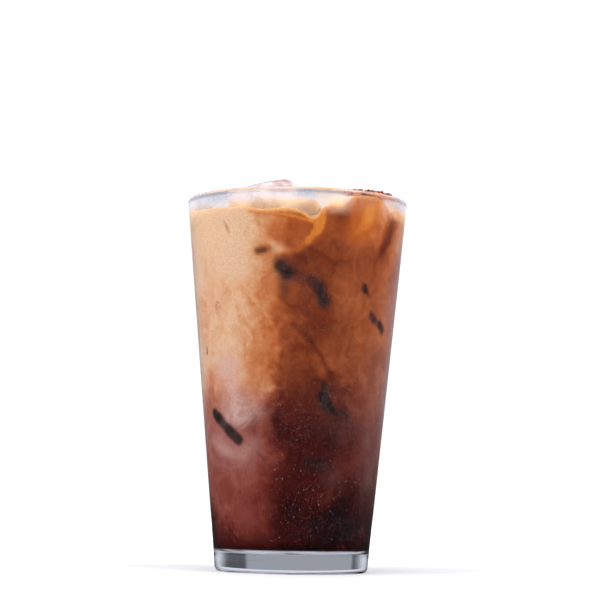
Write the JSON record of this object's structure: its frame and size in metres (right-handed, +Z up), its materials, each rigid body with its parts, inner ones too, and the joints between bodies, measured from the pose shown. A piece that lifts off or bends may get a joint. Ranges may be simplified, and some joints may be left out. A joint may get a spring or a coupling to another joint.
{
  "type": "iced coffee in a tapered glass",
  "caption": "Iced milky coffee with ice cubes standing out of it, in a straight-sided tapered drinking glass with a thick clear foot.",
  "frame": {"origin": "centre of the glass's foot, on the surface it stands on", "axes": "+Z up along the glass's axis, -Y towards the side that the picture shows"},
  "size_m": [0.0888, 0.0888, 0.1578],
  "materials": {
    "glass": "clear soda-lime glass, smooth, misted outside with condensation",
    "coffee": "milky coffee, tan at the top and nearly black at the bottom, wet surface",
    "ice": "wet cloudy ice with a coffee-brown film on its upper edges"
  },
  "bodies": {
    "root": {"glass": "glass", "coffee": "coffee", "ice_tall": "ice", "ice_front": "ice", "ice_right": "ice", "ice_corner": "ice", "ice_back": "ice", "ice_left": "ice"}
  },
  "joints": []
}
